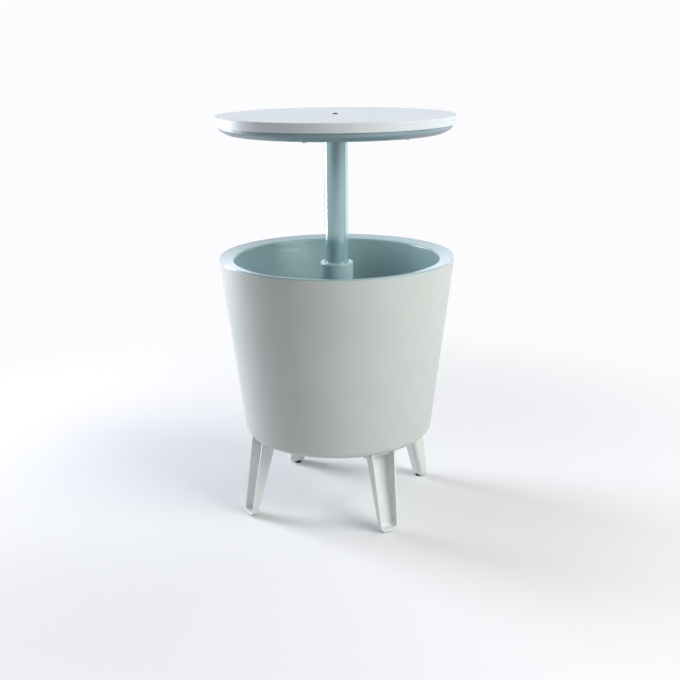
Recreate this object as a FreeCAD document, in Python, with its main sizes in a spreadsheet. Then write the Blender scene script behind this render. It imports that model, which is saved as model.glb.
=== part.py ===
"""Ice bucket coffee table: a round lidded bucket on four legs whose table top lifts on a pole.

Millimetres, +Z up. The origin is on the floor, on the axis of the bucket and the pole, and
the front is towards -Y. The table top is modelled raised, turned to where it slides freely.
"""

import FreeCAD, Part
import math
import os

import Sketcher


# The driving sizes, in millimetres, degrees for the names that end in turn.
SIZES = {
    # Table top
    "table_height": 840.0,
    "table_radius": 247.5,
    "skirt_height": 19.0,
    "skirt_taper": 4.5,
    "disc_wall": 3.0,
    "disc_edge_round": 2.5,
    "skirt_lip_round": 1.0,
    "disc_boss_wall": 6.0,
    # Pan, the shallow bowl under the disc that closes the bucket
    "pan_drop": 18.3,
    "pan_seat": 3.0,
    "pan_side_gap": 0.8,
    "pan_side_lift": 5.0,
    "pan_shoulder": 10.8,
    "pan_wall": 2.5,
    "pan_corner_round": 30.0,
    "pan_shoulder_round": 8.0,
    "recess_rim": 1.0,
    "recess_depth": 10.0,
    "recess_edge_round": 1.2,
    # Hub, the head of the pole inside the table top
    "hub_height": 14.0,
    "hub_flange_width": 13.5,
    "hub_flange_thick": 3.5,
    "hub_wall": 4.5,
    "hub_top_wall": 5.0,
    "hub_boss_wall": 6.0,
    "hub_boss_floor": 3.0,
    # Pole and its foot
    "pole_radius": 24.5,
    "pole_wall": 2.5,
    "foot_body": 15.0,
    "foot_plug": 25.0,
    "foot_wall": 5.0,
    "lug_width": 19.0,
    "lug_height": 8.0,
    "lock_turn": 60.0,
    "key_turn": 30.0,
    "key_spread_turn": 120.0,
    "key_width": 4.6,
    "key_depth": 1.1,
    # Guide bush and the sleeve that carries it
    "bush_length": 76.9,
    "bush_wall": 6.5,
    "sleeve_wall": 2.5,
    "sleeve_flange_width": 17.0,
    "sleeve_flange_thick": 6.0,
    "shelf_height": 6.7,
    "shelf_width": 21.0,
    # Bucket
    "base_height": 163.0,
    "rim_height": 549.7,
    "rim_inset": 0.5,
    "rim_width": 30.0,
    "rim_thick": 3.0,
    "rim_fall": 5.7,
    "rim_edge_round": 1.0,
    "well_taper": 37.0,
    "well_floor_height": 275.0,
    "well_floor_round": 15.0,
    "well_edge_round": 4.0,
    "liner_wall": 2.5,
    "locating_rib_gap": 2.4,
    "locating_rib_thick": 2.5,
    "locating_rib_height": 12.0,
    "column_gap": 18.8,
    "column_wall": 3.7,
    "column_taper": 3.0,
    "column_lip": 3.0,
    "lip_gap": 1.5,
    "column_base_round": 5.0,
    "column_edge_round": 4.5,
    "shell_step": 0.4,
    "shell_taper": 46.0,
    "shell_base_round": 18.0,
    "shell_wall": 3.0,
    "shell_edge_round": 0.8,
    # Legs and their rubber pads
    "leg_turn": 28.0,
    "leg_width": 55.0,
    "leg_foot_width": 40.5,
    "leg_wall": 3.5,
    "leg_inset": 4.1,
    "leg_splay": 26.2,
    "leg_top_depth": 35.5,
    "leg_foot_depth": 17.5,
    "leg_back_round": 11.0,
    "leg_toe_round": 13.5,
    "leg_toe_wall": 6.0,
    "leg_cope": 12.0,
    "leg_flange_thick": 5.0,
    "leg_flange_reach": 27.0,
    "leg_flange_inset": 15.4,
    "leg_flange_spread": 9.0,
    "leg_flare_round": 8.0,
    "pad_height": 2.5,
    "pad_side_margin": 0.7,
    "pad_edge_margin": 0.5,
    "pad_lip_margin": 6.0,
    "pad_round": 2.8,
    "pad_stem_radius": 2.2,
    "pad_stem_height": 4.0,
    # Drain
    "drain_inset": 55.0,
    "drain_turn": 45.0,
    "spout_wall": 3.0,
    "spout_flange_width": 6.5,
    "spout_flange_thick": 2.5,
    "spout_drop": 23.0,
    "spigot_radius": 11.0,
    "spigot_step": 1.5,
    "gasket_thick": 1.5,
    "gasket_inset": 1.0,
    "nut_width": 7.5,
    "nut_height": 8.0,
    "plug_head_inset": 4.0,
    "plug_head_thick": 4.0,
    "plug_stem": 15.0,
    "plug_tab_width": 18.0,
    "plug_tab_height": 15.0,
    "plug_tab_thick": 4.0,
    "plug_tab_round": 6.0,
    "seal_cord": 1.3,
    # Screws and rivets
    "table_screw_radius": 4.0,
    "table_screw_head": 6.0,
    "table_screw_head_height": 4.0,
    "table_screw_head_round": 1.6,
    "table_screw_length": 24.0,
    "table_screw_recess": 2.4,
    "socket_radius": 2.9,
    "socket_depth": 2.0,
    "washer_thick": 0.8,
    "centre_ring_width": 4.0,
    "centre_ring_thick": 2.0,
    "centre_ring_proud": 0.6,
    "pan_screw_radius": 1.6,
    "pan_screw_head": 4.5,
    "pan_screw_length": 14.0,
    "pan_screw_inset": 18.0,
    "pan_screw_boss_wall": 2.9,
    "pan_screw_turn": 13.0,
    "hub_screw_radius": 2.0,
    "hub_screw_head": 3.6,
    "hub_screw_inset": 6.5,
    "hub_screw_turn": 45.0,
    "leg_screw_radius": 2.5,
    "leg_screw_head": 5.0,
    "leg_screw_length": 16.0,
    "leg_screw_inner_inset": 13.0,
    "leg_screw_outer_inset": 11.5,
    "leg_screw_side_inset": 12.5,
    "leg_screw_boss_wall": 3.0,
    "leg_screw_boss_roof": 2.0,
    "sleeve_screw_radius": 2.0,
    "sleeve_screw_head": 3.6,
    "sleeve_screw_inset": 8.0,
    "screw_head_height": 2.6,
    "sleeve_screw_tip_gap": 1.0,
    "table_screw_tip_gap": 5.8,
    "rivet_radius": 1.5,
    "rivet_head": 2.6,
    "rivet_head_height": 0.8,
    # Fits
    "closed_gap": 0.3,
    "slide_gap": 0.3,
    "bearing_fit": 0.1,
    "screw_fit": 0.05,
    "bore_gap": 0.5,
}

FULL_TURN = 360
LEG_NAMES = ("back_right", "back_left", "front_left", "front_right")
SIDES = (-1, 1)
PAN_SCREWS = 6
LEG_COUNT = len(LEG_NAMES)
HUB_SCREWS = 4
SLEEVE_SCREWS = 4
HALF_ROOT_THREE = math.sqrt(3) / 2
# How far a measured edge may be from its size and still be taken for it.
CLOSE = 0.01


class Size:
    """A length or angle with its present value and the sheet expression that gives it."""

    def __init__(self, value, text):
        self.value = float(value)
        self.text = text

    def __add__(self, other):
        other = as_size(other)
        return Size(self.value + other.value, f"({self.text} + {other.text})")

    def __radd__(self, other):
        return as_size(other) + self

    def __sub__(self, other):
        other = as_size(other)
        return Size(self.value - other.value, f"({self.text} - {other.text})")

    def __rsub__(self, other):
        return as_size(other) - self

    def __mul__(self, other):
        other = as_size(other)
        return Size(self.value * other.value, f"({self.text} * {other.text})")

    def __rmul__(self, other):
        return as_size(other) * self

    def __truediv__(self, other):
        other = as_size(other)
        return Size(self.value / other.value, f"({self.text} / {other.text})")

    def __neg__(self):
        return 0 - self


def as_size(number):
    """A plain number as a size that depends on nothing."""
    if isinstance(number, Size):
        return number
    return Size(number, repr(number))


def along(start, end, share):
    """The size that lies a share of the way from start to end."""
    return start + (end - start) * share


class Sheet:
    """The driving sizes in the document's spreadsheet, each under its own name."""

    def __init__(self, doc, values):
        self.page = doc.addObject("Spreadsheet::Sheet", "Sizes")
        for row, (name, value) in enumerate(values.items(), start=1):
            self.page.set(f"A{row}", name)
            self.page.set(f"B{row}", str(value))
            self.page.setAlias(f"B{row}", name)
            setattr(self, name, Size(value, f"Sizes.{name}"))
        doc.recompute()
        self.work_out_table()
        self.work_out_bucket()
        self.work_out_legs()
        self.work_out_drain()

    def work_out_bucket(self):
        """The radii of the rim, the well and the shell, from the table top down."""
        self.shell_radius = self.rim_radius + self.shell_step
        self.shell_base_radius = self.shell_radius - self.shell_taper
        self.locating_rib_radius = self.shell_radius - self.shell_wall - self.locating_rib_gap
        self.well_floor_radius = self.well_radius - self.well_taper
        self.sleeve_flange_radius = self.sleeve_radius + self.sleeve_flange_width
        self.sleeve_screw_circle = self.sleeve_flange_radius - self.sleeve_screw_inset
        self.sleeve_screw_length = (
            self.shell_wall + self.sleeve_flange_thick - self.sleeve_screw_tip_gap)
        self.column_radius = self.sleeve_radius + self.slide_gap + self.column_wall
        self.column_base_radius = self.column_radius + self.column_taper

    def work_out_table(self):
        """The sizes of the table top's pieces and of the pole, from the disc and the pole."""
        self.rim_radius = self.table_radius - self.rim_inset
        self.well_radius = self.rim_radius - self.rim_width
        self.pan_radius = self.well_radius + self.pan_seat
        self.pan_side_radius = (
            self.table_radius - self.skirt_taper - self.disc_wall - self.pan_side_gap)
        self.pan_screw_circle = self.pan_radius - self.pan_screw_inset
        self.pan_screw_boss = self.pan_screw_radius + self.pan_screw_boss_wall
        self.centre_ring_radius = self.table_screw_head + self.centre_ring_width
        self.disc_boss_radius = self.centre_ring_radius + self.disc_boss_wall
        self.hub_flange_radius = self.pole_radius + self.hub_wall + self.hub_flange_width
        self.hub_screw_circle = self.hub_flange_radius - self.hub_screw_inset
        self.hub_screw_length = self.pan_wall + self.hub_flange_thick
        self.hub_boss_radius = self.table_screw_radius + self.hub_boss_wall
        self.recess_radius = self.hub_flange_radius + self.recess_rim - self.pan_wall
        self.foot_bore_radius = self.pole_radius - self.pole_wall - self.foot_wall
        self.sleeve_radius = self.pole_radius + self.bush_wall
        self.lug_reach = self.sleeve_radius - self.sleeve_wall - self.slide_gap

    def work_out_legs(self):
        """The radii of the legs, their flanges, screws and pads, from the shell's bottom."""
        self.leg_rim_top = self.shell_base_radius - self.leg_inset
        self.leg_rim_foot = self.leg_rim_top + self.leg_splay
        self.leg_back_top = self.leg_rim_top - self.leg_top_depth
        self.leg_back_foot = self.leg_rim_foot - self.leg_foot_depth
        self.leg_flange_inner = self.leg_back_top - self.leg_flange_reach
        self.leg_flange_outer = self.shell_base_radius - self.leg_flange_inset
        self.leg_screw_inner = self.leg_flange_inner + self.leg_screw_inner_inset
        self.leg_screw_outer = self.leg_flange_outer - self.leg_screw_outer_inset
        self.leg_screw_half = self.leg_width / 2 - self.leg_screw_side_inset
        self.leg_screw_boss = self.leg_screw_radius + self.leg_screw_boss_wall
        self.leg_screw_boss_height = (
            self.leg_screw_length - self.shell_wall + self.leg_screw_boss_roof)
        self.pad_width = (
            self.leg_foot_width - 2 * self.leg_toe_round - 2 * self.pad_side_margin)
        self.pad_depth = self.leg_foot_depth - self.pad_edge_margin - self.pad_lip_margin

    def work_out_drain(self):
        """The radii of the drain's pieces, from the hose spigot, and its place in the well."""
        self.drain_radius = self.well_floor_radius - self.drain_inset
        self.spout_radius = self.spigot_radius + self.spigot_step
        self.spout_flange_radius = self.spout_radius + self.spout_flange_width
        self.gasket_radius = self.spout_flange_radius - self.gasket_inset
        self.nut_radius = self.spout_radius + self.nut_width
        self.plug_head_radius = self.spout_flange_radius - self.plug_head_inset


class Levels:
    """Heights above the floor that more than one piece is built from."""

    def __init__(self, s):
        self.skirt_base = s.table_height - s.skirt_height
        self.pan_base = self.skirt_base - s.pan_drop
        self.hub_seat = self.pan_base + s.recess_depth + s.pan_wall
        self.hub_top = self.hub_seat + s.hub_height
        self.pole_top = self.hub_top - s.hub_top_wall
        self.table_screw_base = (
            s.table_height - s.table_screw_recess + s.washer_thick - s.table_screw_length)
        self.hub_boss_base = self.table_screw_base - s.table_screw_tip_gap - s.hub_boss_floor
        self.well_top = s.rim_height - s.rim_fall
        self.travel = self.pan_base - self.well_top - s.closed_gap
        self.column_top = self.pan_base - self.travel + s.recess_depth - s.column_gap
        self.lip_base = self.column_top - s.column_lip
        self.bush_top = self.lip_base - s.slide_gap
        self.bush_base = self.bush_top - s.bush_length
        self.sleeve_top = self.bush_base - s.slide_gap
        self.pole_base = self.bush_base - s.slide_gap
        self.foot_base = self.pole_base - s.foot_body
        self.lug_base = self.pole_base - s.lug_height
        self.shelf_top = self.lug_base - s.slide_gap
        self.shell_floor = s.base_height + s.shell_wall
        self.shell_top = s.rim_height - s.rim_thick
        self.well_floor = s.well_floor_height
        self.liner_base = s.well_floor_height - s.liner_wall
        self.spout_flange_base = s.well_floor_height + s.gasket_thick
        self.spout_flange_top = self.spout_flange_base + s.spout_flange_thick
        self.spout_base = s.base_height - s.spout_drop


def tie(item, name, size):
    """Give a property its present value and bind it to the sheet."""
    size = as_size(size)
    setattr(item, name, size.value)
    item.setExpression(name, size.text)


def place(item, height=0, turn=0, x=0):
    """Set a piece's height and turn about the vertical, both bound to the sheet."""
    height, turn, x = as_size(height), as_size(turn), as_size(x)
    spin = FreeCAD.Rotation(FreeCAD.Vector(0, 0, 1), turn.value)
    item.Placement = FreeCAD.Placement(FreeCAD.Vector(x.value, 0, height.value), spin)
    item.setExpression("Placement.Base.x", x.text)
    item.setExpression("Placement.Base.z", height.text)
    item.setExpression("Placement.Rotation.Angle", turn.text)


def origin_part(body, role):
    """The body's own origin plane or axis with that role."""
    return next(item for item in body.Origin.OriginFeatures if item.Role == role)


class Piece:
    """One body under construction: its sketches and the features made from them."""

    def __init__(self, doc, label, many=False):
        self.doc = doc
        self.body = doc.addObject("PartDesign::Body", label)
        self.body.Label = label
        self.body.AllowCompound = many
        self.count = 0

    def name(self, word):
        """A feature name that is new in the document."""
        self.count += 1
        return f"{self.body.Name}_{word}_{self.count}"

    def sketch(self, plane, outlines=(), circles=(), height=0, turn=0):
        """Closed straight outlines and full circles on an origin plane.

        An outline is a list of (across, up) sizes, a circle is (across, up, radius).
        Height moves the sketch along the plane's normal and turn spins it about that.
        """
        sketch = self.body.newObject("Sketcher::SketchObject", self.name("sketch"))
        sketch.AttachmentSupport = [(origin_part(self.body, plane), "")]
        sketch.MapMode = "FlatFace"
        height, turn = as_size(height), as_size(turn)
        spin = FreeCAD.Rotation(FreeCAD.Vector(0, 0, 1), turn.value)
        sketch.AttachmentOffset = FreeCAD.Placement(FreeCAD.Vector(0, 0, height.value), spin)
        sketch.setExpression("AttachmentOffset.Base.z", height.text)
        sketch.setExpression("AttachmentOffset.Rotation.Angle", turn.text)
        for corners in outlines:
            self.add_outline(sketch, corners)
        for across, up, radius in circles:
            self.add_circle(sketch, across, up, radius)
        return sketch

    def add_outline(self, sketch, corners):
        """A closed outline whose corners are tied to their sizes."""
        corners = [(as_size(across), as_size(up)) for across, up in corners]
        spots = [FreeCAD.Vector(across.value, up.value, 0) for across, up in corners]
        first = sketch.GeometryCount
        for spot, following in zip(spots, spots[1:] + spots[:1]):
            sketch.addGeometry(Part.LineSegment(spot, following))
        total = len(spots)
        for index in range(total):
            ends = (first + index, 2, first + (index + 1) % total, 1)
            sketch.addConstraint(Sketcher.Constraint("Coincident", *ends))
        for index, (across, up) in enumerate(corners):
            self.pin(sketch, first + index, 1, across, up)

    def add_circle(self, sketch, across, up, radius):
        """A full circle whose centre and radius are tied to their sizes."""
        across, up, radius = as_size(across), as_size(up), as_size(radius)
        centre = FreeCAD.Vector(across.value, up.value, 0)
        circle = Part.Circle(centre, FreeCAD.Vector(0, 0, 1), radius.value)
        item = sketch.addGeometry(circle)
        place_in = sketch.addConstraint(Sketcher.Constraint("Radius", item, radius.value))
        sketch.setExpression(f"Constraints[{place_in}]", radius.text)
        self.pin(sketch, item, 3, across, up)

    def pin(self, sketch, item, end, across, up):
        """Tie one point of a sketch to its two sizes."""
        for direction, axis, size in (("DistanceX", -2, across), ("DistanceY", -1, up)):
            if size.value == 0:
                sketch.addConstraint(Sketcher.Constraint("PointOnObject", item, end, axis))
                continue
            rule = Sketcher.Constraint(direction, -1, 1, item, end, size.value)
            place_in = sketch.addConstraint(rule)
            sketch.setExpression(f"Constraints[{place_in}]", size.text)

    def revolve(self, corners, cut=False):
        """Turn a (radius, height) outline once about the vertical axis."""
        kind = "PartDesign::Groove" if cut else "PartDesign::Revolution"
        sketch = self.sketch("XZ_Plane", outlines=[corners])
        turned = self.body.newObject(kind, self.name("turned"))
        turned.Profile = sketch
        turned.ReferenceAxis = (sketch, ["V_Axis"])
        turned.Angle = FULL_TURN
        return turned

    def extrude(self, sketch, length, cut=False, centred=False, backwards=False):
        """Pad or pocket a sketch by a length, along its normal unless backwards."""
        kind = "PartDesign::Pocket" if cut else "PartDesign::Pad"
        feature = self.body.newObject(kind, self.name("extrusion"))
        feature.Profile = sketch
        tie(feature, "Length", length)
        feature.Midplane = centred
        feature.Reversed = backwards
        return feature

    def repeat(self, features, count, spread=FULL_TURN):
        """Repeat features about the vertical axis, evenly over the spread."""
        pattern = self.body.newObject("PartDesign::PolarPattern", self.name("pattern"))
        pattern.Originals = list(features)
        pattern.Axis = (origin_part(self.body, "Z_Axis"), [""])
        tie(pattern, "Angle", spread)
        pattern.Occurrences = count
        self.body.Tip = pattern
        return pattern

    def round(self, radius, wanted):
        """Fillet the edges of the present solid for which wanted says yes."""
        base = self.body.Tip
        self.doc.recompute()
        names = [
            f"Edge{number}"
            for number, edge in enumerate(base.Shape.Edges, start=1)
            if wanted(edge)
        ]
        if not names:
            raise RuntimeError(f"{self.body.Label}: no edge to round")
        fillet = self.body.newObject("PartDesign::Fillet", self.name("round"))
        fillet.Base = (base, names)
        tie(fillet, "Radius", radius)
        return fillet


def ring_at(radius, height):
    """A test for the circular edge about the axis with that radius and height."""
    radius, height = as_size(radius).value, as_size(height).value

    def wanted(edge):
        if not isinstance(edge.Curve, Part.Circle):
            return False
        centre = edge.Curve.Center
        level = math.isclose(centre.z, height, abs_tol=CLOSE)
        size = math.isclose(edge.Curve.Radius, radius, abs_tol=CLOSE)
        return level and size and math.hypot(centre.x, centre.y) < CLOSE

    return wanted


def straight_between(test, shared="y"):
    """A test for straight edges whose two ends pass a test and share the named coordinates."""

    def wanted(edge):
        ends = [vertex.Point for vertex in edge.Vertexes]
        if not isinstance(edge.Curve, Part.Line) or len(ends) != 2:
            return False
        level = all(near(getattr(ends[0], axis), getattr(ends[1], axis)) for axis in shared)
        return level and all(test(end) for end in ends)

    return wanted


def near(value, size):
    """Whether a measured value is the size."""
    return math.isclose(value, as_size(size).value, abs_tol=CLOSE)


class CoffeeTable:
    """The whole object: its document, its sizes and every sub-part by name."""

    def __init__(self):
        self.doc = FreeCAD.newDocument("ice_bucket_table")
        self.sizes = Sheet(self.doc, SIZES)
        self.levels = Levels(self.sizes)
        self.parts = {}

    def start(self, label, many=False):
        """Begin a sub-part made as one body."""
        piece = Piece(self.doc, label, many)
        self.parts[label] = piece.body
        return piece

    def primitive(self, kind, name, **sizes):
        """A Part primitive whose sizes are bound to the sheet."""
        item = self.doc.addObject(f"Part::{kind}", name)
        for word, size in sizes.items():
            tie(item, word, size)
        return item

    def joined(self, kind, label, *items):
        """A Part boolean of earlier objects, in their order."""
        item = self.doc.addObject(f"Part::{kind}", label)
        if kind in ("MultiFuse", "MultiCommon"):
            item.Shapes = list(items)
        else:
            item.Base, item.Tool = items
        return item

    def round_bar(self, name, radius, height, base, turn=0, x=0):
        """A vertical cylinder that stands at a height."""
        bar = self.primitive("Cylinder", name, Radius=radius, Height=height)
        place(bar, base, turn, x)
        return bar

    def cross_bar(self, name, width, height, base, turn=0):
        """A box across the axis, wide enough to reach past every lug."""
        s = self.sizes
        reach = 2 * s.sleeve_radius
        box = self.primitive("Box", name, Length=reach, Width=width, Height=height)
        blade = self.doc.addObject("Part::Compound", f"{name}_centred")
        blade.Links = [box]
        for axis, size in (("x", -reach / 2), ("y", -as_size(width) / 2)):
            box.setExpression(f"Placement.Base.{axis}", size.text)
        place(blade, base, turn)
        return blade

    # Table top

    def table_disc(self):
        """The top plate with its skirt, the centre boss and the bosses for the pan's screws."""
        s, level = self.sizes, self.levels
        piece = self.start("table_disc")
        top = s.skirt_height
        underside = top - s.disc_wall
        skirt_outer = s.table_radius - s.skirt_taper
        boss_base = level.hub_top - level.skirt_base
        screw_seat = top - s.table_screw_recess
        ring_seat = top + s.centre_ring_proud - s.centre_ring_thick
        slope_share = underside / top
        hole = s.table_screw_radius + s.screw_fit
        head_hole = s.table_screw_head + s.bore_gap
        ring_hole = s.centre_ring_radius + s.screw_fit
        piece.revolve([
            (hole, boss_base),
            (s.disc_boss_radius, boss_base),
            (s.disc_boss_radius, underside),
            (along(skirt_outer, s.table_radius, slope_share) - s.disc_wall, underside),
            (skirt_outer - s.disc_wall, 0),
            (skirt_outer, 0),
            (s.table_radius, top),
            (ring_hole, top),
            (ring_hole, ring_seat),
            (head_hole, ring_seat),
            (head_hole, screw_seat),
            (hole, screw_seat),
        ])
        piece.round(s.disc_edge_round, ring_at(s.table_radius, top))
        piece.round(s.skirt_lip_round, ring_at(skirt_outer, 0))
        boss_foot = level.pan_base + s.pan_wall - level.skirt_base
        sketch = piece.sketch(
            "XY_Plane",
            circles=[
                (s.pan_screw_circle, 0, s.pan_screw_boss),
                (s.pan_screw_circle, 0, s.pan_screw_radius + s.screw_fit),
            ],
            height=boss_foot,
        )
        boss = piece.extrude(sketch, underside - boss_foot)
        piece.repeat([boss], PAN_SCREWS)
        place(piece.body, level.skirt_base, s.pan_screw_turn)

    def table_pan(self):
        """The shallow bowl under the disc: flat floor, sloping side and centre recess.

        The slope starts just outside the well's edge, so the closed table rests on it.
        """
        s, level = self.sizes, self.levels
        piece = self.start("table_pan")
        side = s.pan_side_radius
        inside = side - s.pan_wall
        slope = s.pan_shoulder / (side - s.pan_radius)
        inner_shoulder = s.pan_wall + slope * (inside - s.pan_radius)
        top = s.pan_drop + s.pan_side_lift
        ceiling = s.recess_depth
        hole = s.pole_radius + s.bore_gap
        piece.revolve([
            (hole, ceiling),
            (s.recess_radius, ceiling),
            (s.recess_radius, 0),
            (s.pan_radius, 0),
            (side, s.pan_shoulder),
            (side, top),
            (inside, top),
            (inside, inner_shoulder),
            (s.pan_radius, s.pan_wall),
            (s.recess_radius + s.pan_wall, s.pan_wall),
            (s.recess_radius + s.pan_wall, ceiling + s.pan_wall),
            (hole, ceiling + s.pan_wall),
        ])
        piece.round(s.pan_corner_round - s.pan_wall, ring_at(s.pan_radius, s.pan_wall))
        piece.round(s.pan_corner_round, ring_at(s.pan_radius, 0))
        piece.round(s.pan_shoulder_round - s.pan_wall, ring_at(inside, inner_shoulder))
        piece.round(s.pan_shoulder_round, ring_at(side, s.pan_shoulder))
        piece.round(s.recess_edge_round, ring_at(s.recess_radius, 0))
        holes = piece.sketch(
            "XY_Plane",
            circles=[(s.pan_screw_circle, 0, s.pan_screw_radius + s.screw_fit)],
            turn=s.pan_screw_turn,
        )
        floor_holes = piece.extrude(holes, s.pan_wall, cut=True, backwards=True)
        piece.repeat([floor_holes], PAN_SCREWS)
        holes = piece.sketch(
            "XY_Plane",
            circles=[(s.hub_screw_circle, 0, s.hub_screw_radius + s.screw_fit)],
            height=ceiling,
            turn=s.hub_screw_turn,
        )
        hub_holes = piece.extrude(holes, s.pan_wall, cut=True, backwards=True)
        piece.repeat([hub_holes], HUB_SCREWS)
        place(piece.body, level.pan_base)

    def screws(self, label, radius, head, length, spots, count, base, turn):
        """Round-headed screws that point up, their heads below a face at the base height."""
        s = self.sizes
        piece = self.start(label, many=True)
        shanks = piece.sketch("XY_Plane", circles=[(x, y, radius) for x, y in spots])
        shank = piece.extrude(shanks, length)
        heads = piece.sketch("XY_Plane", circles=[(x, y, head) for x, y in spots])
        cap = piece.extrude(heads, s.screw_head_height, backwards=True)
        slots = piece.sketch(
            "XY_Plane",
            circles=[(x, y, radius / 2) for x, y in spots],
            height=-s.screw_head_height,
        )
        recess = piece.extrude(slots, s.screw_head_height / 2, cut=True, backwards=True)
        piece.repeat([shank, cap, recess], count)
        place(piece.body, base, turn)

    def table_fasteners(self):
        """The centre screw with its washer and trim ring, and the pan and hub screws."""
        s, level = self.sizes, self.levels
        seat = s.table_height - s.table_screw_recess
        piece = self.start("table_washer")
        piece.revolve([
            (s.table_screw_radius + s.screw_fit, 0),
            (s.table_screw_head + s.bore_gap / 2, 0),
            (s.table_screw_head + s.bore_gap / 2, s.washer_thick),
            (s.table_screw_radius + s.screw_fit, s.washer_thick),
        ])
        place(piece.body, seat)

        piece = self.start("table_screw")
        head_base = s.table_screw_length
        head_top = head_base + s.table_screw_head_height
        piece.revolve([
            (0, 0),
            (s.table_screw_radius, 0),
            (s.table_screw_radius, head_base),
            (s.table_screw_head, head_base),
            (s.table_screw_head, head_top),
            (0, head_top),
        ])
        piece.round(s.table_screw_head_round, ring_at(s.table_screw_head, head_top))
        socket = piece.sketch("XY_Plane", outlines=[hexagon(s.socket_radius)], height=head_top)
        piece.extrude(socket, s.socket_depth, cut=True)
        place(piece.body, level.table_screw_base)

        piece = self.start("centre_ring")
        piece.revolve([
            (s.table_screw_head + s.bore_gap, 0),
            (s.centre_ring_radius, 0),
            (s.centre_ring_radius, s.centre_ring_thick),
            (s.table_screw_head + s.bore_gap, s.centre_ring_thick),
        ])
        place(piece.body, s.table_height + s.centre_ring_proud - s.centre_ring_thick)

        self.screws(
            "pan_screws", s.pan_screw_radius, s.pan_screw_head, s.pan_screw_length,
            [(s.pan_screw_circle, 0)], PAN_SCREWS, level.pan_base, s.pan_screw_turn,
        )
        self.screws(
            "hub_screws", s.hub_screw_radius, s.hub_screw_head, s.hub_screw_length,
            [(s.hub_screw_circle, 0)], HUB_SCREWS, level.hub_seat - s.pan_wall,
            s.hub_screw_turn,
        )

    # Pole

    def pole_hub(self):
        """The head of the pole: a flanged socket with a threaded boss inside the tube."""
        s, level = self.sizes, self.levels
        piece = self.start("pole_hub")
        flange_base = level.hub_seat - level.hub_boss_base
        top = flange_base + s.hub_height
        plate = top - s.hub_top_wall
        socket = s.pole_radius + s.screw_fit
        hole = s.table_screw_radius + s.screw_fit
        piece.revolve([
            (0, 0),
            (s.hub_boss_radius, 0),
            (s.hub_boss_radius, plate),
            (socket, plate),
            (socket, flange_base),
            (s.hub_flange_radius, flange_base),
            (s.hub_flange_radius, flange_base + s.hub_flange_thick),
            (s.pole_radius + s.hub_wall, flange_base + s.hub_flange_thick),
            (s.pole_radius + s.hub_wall, top),
            (hole, top),
            (hole, s.hub_boss_floor),
            (0, s.hub_boss_floor),
        ])
        holes = piece.sketch(
            "XY_Plane",
            circles=[(s.hub_screw_circle, 0, s.hub_screw_radius + s.screw_fit)],
            height=flange_base,
            turn=s.hub_screw_turn,
        )
        bored = piece.extrude(holes, s.hub_flange_thick, cut=True, backwards=True)
        piece.repeat([bored], HUB_SCREWS)
        rivet_height = flange_base + s.hub_flange_thick + s.rivet_head
        self.cross_holes(piece, rivet_height)
        place(piece.body, level.hub_boss_base)

    def cross_holes(self, piece, *heights):
        """Holes for rivets, to the left and right through everything at each height."""
        s = self.sizes
        circles = [(0, height, s.rivet_radius + s.screw_fit) for height in heights]
        sketch = piece.sketch("YZ_Plane", circles=circles)
        piece.extrude(sketch, 2 * s.hub_flange_radius, cut=True, centred=True)

    def pole_tube(self):
        """The pole: a round tube with two key grooves along its back."""
        s, level = self.sizes, self.levels
        piece = self.start("pole_tube")
        length = level.pole_top - level.pole_base
        sketch = piece.sketch(
            "XY_Plane",
            circles=[(0, 0, s.pole_radius), (0, 0, s.pole_radius - s.pole_wall)],
        )
        piece.extrude(sketch, length)
        self.cross_holes(piece, *self.rivet_heights(level.pole_base))
        key = piece.sketch(
            "XY_Plane",
            outlines=[self.key_outline(s.key_depth + s.bearing_fit, s.key_width + s.slide_gap)],
            turn=s.key_turn,
        )
        reach = level.bush_top + level.travel - level.pole_base + s.slide_gap
        groove = piece.extrude(key, reach, cut=True, backwards=True)
        piece.repeat([groove], len(SIDES), s.key_spread_turn)
        place(piece.body, level.pole_base)

    def rivet_heights(self, zero):
        """Heights of the foot and head rivets, measured from zero."""
        s, level = self.sizes, self.levels
        low = level.pole_base + s.foot_plug / 2 - zero
        high = level.hub_seat + s.hub_flange_thick + s.rivet_head - zero
        return low, high

    def key_outline(self, depth, width):
        """The rectangle of a key or its groove, across the pole's surface."""
        s = self.sizes
        inner = s.pole_radius - depth
        outer = s.pole_radius + s.pole_wall / 2
        return [(inner, -width / 2), (outer, -width / 2), (outer, width / 2), (inner, width / 2)]

    def pole_foot(self):
        """The pole's foot: a plug in the tube, a collar and the two lugs that lock."""
        s, level = self.sizes, self.levels
        collar = self.round_bar("foot_collar", s.pole_radius, s.foot_body, level.foot_base)
        plug_radius = s.pole_radius - s.pole_wall - s.screw_fit
        plug = self.round_bar("foot_plug_bar", plug_radius, s.foot_plug, level.pole_base)
        disc = self.round_bar("foot_lug_disc", s.lug_reach, s.lug_height, level.lug_base)
        bar = self.cross_bar("foot_lug_bar", s.lug_width, s.lug_height, level.lug_base)
        lugs = self.joined("MultiCommon", "foot_lugs", disc, bar)
        solid = self.joined("MultiFuse", "foot_solid", collar, plug, lugs)
        length = s.foot_body + s.foot_plug
        bore = self.round_bar("foot_bore", s.foot_bore_radius, length, level.foot_base)
        low, _ = self.rivet_heights(0)
        pin = self.primitive(
            "Cylinder", "foot_pin_hole", Radius=s.rivet_radius + s.screw_fit,
            Height=2 * s.pole_radius,
        )
        pin.Placement.Rotation = FreeCAD.Rotation(FreeCAD.Vector(0, 1, 0), 90)
        pin.setExpression("Placement.Base.x", (-s.pole_radius).text)
        pin.setExpression("Placement.Base.z", low.text)
        holes = self.joined("MultiFuse", "foot_holes", bore, pin)
        self.parts["pole_foot"] = self.joined("Cut", "pole_foot", solid, holes)

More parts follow.
